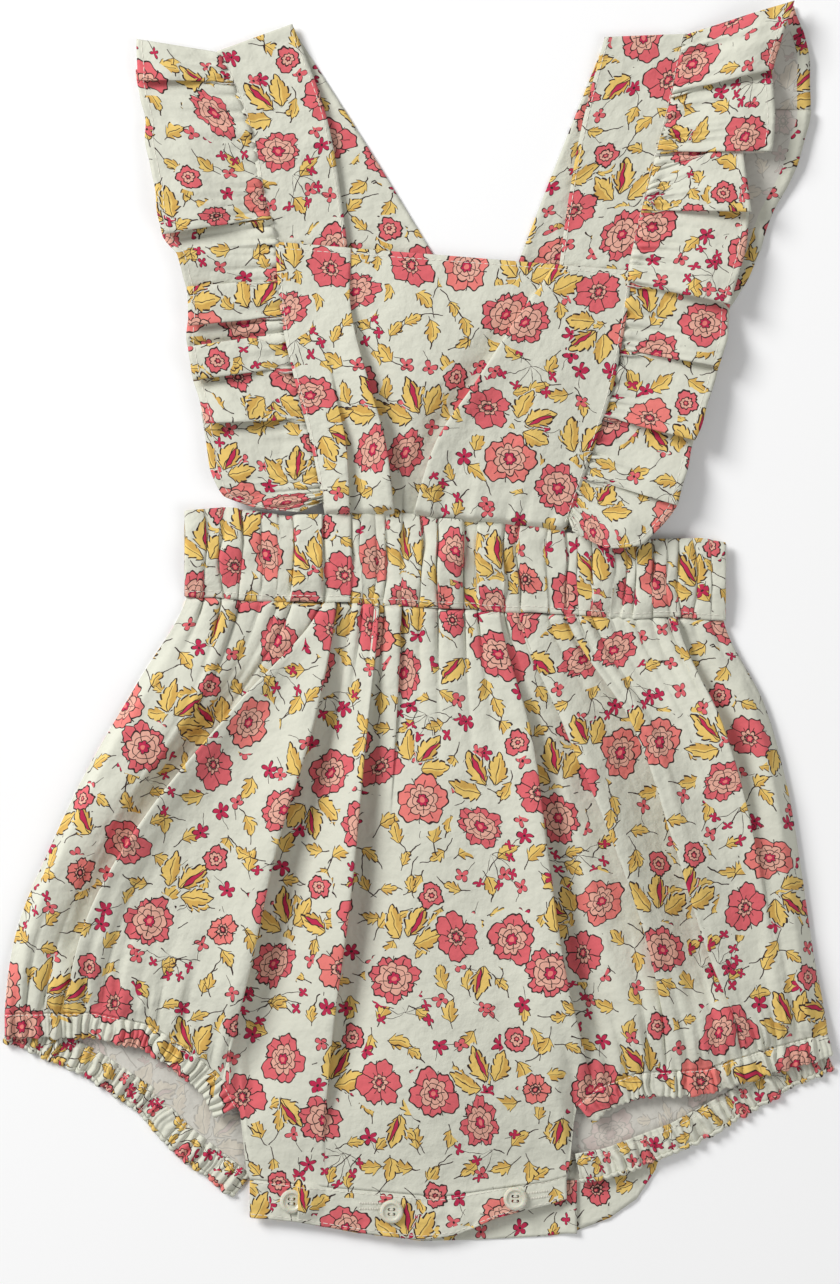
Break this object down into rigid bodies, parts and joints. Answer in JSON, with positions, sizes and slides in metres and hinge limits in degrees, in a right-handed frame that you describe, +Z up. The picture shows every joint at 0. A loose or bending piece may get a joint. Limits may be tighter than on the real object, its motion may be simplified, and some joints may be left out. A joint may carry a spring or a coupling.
{
  "type": "baby romper",
  "caption": "Baby romper laid flat: bubble skirt with gathered waistband and leg casings, bib front, crossed back straps edged with ruffles, buttoned crotch placket.",
  "frame": {"origin": "under the middle of the outline, on the surface that the garment lies on", "axes": "+Z up from the surface, +Y towards the shoulders, +X towards the viewer's right, which is the garment's left side"},
  "size_m": [0.3155, 0.4707, 0.0101],
  "materials": {
    "floral_print": "plain-weave cotton with a printed floral repeat on a cream ground, matt",
    "print_wrong_side": "wrong side of the same cotton, the print showing through pale and grey",
    "pearl_button": "cream pearl, satin gloss"
  },
  "bodies": {
    "root": {"front_skirt": "floral_print", "back_skirt": "floral_print", "front_waistband": "floral_print", "back_waistband": "floral_print", "left_front_leg_casing": "floral_print", "right_front_leg_casing": "floral_print", "left_back_leg_casing": "floral_print", "right_back_leg_casing": "floral_print", "front_placket": "floral_print", "back_placket": "floral_print", "front_bib": "floral_print", "left_back_strap": "floral_print", "right_back_strap": "floral_print", "left_front_strap": "floral_print", "right_front_strap": "floral_print", "left_ruffle_front": "floral_print", "right_ruffle_front": "floral_print", "left_ruffle_back": "print_wrong_side", "right_ruffle_back": "print_wrong_side", "button_left": "pearl_button", "button_middle": "pearl_button", "button_right": "pearl_button"}
  },
  "joints": []
}
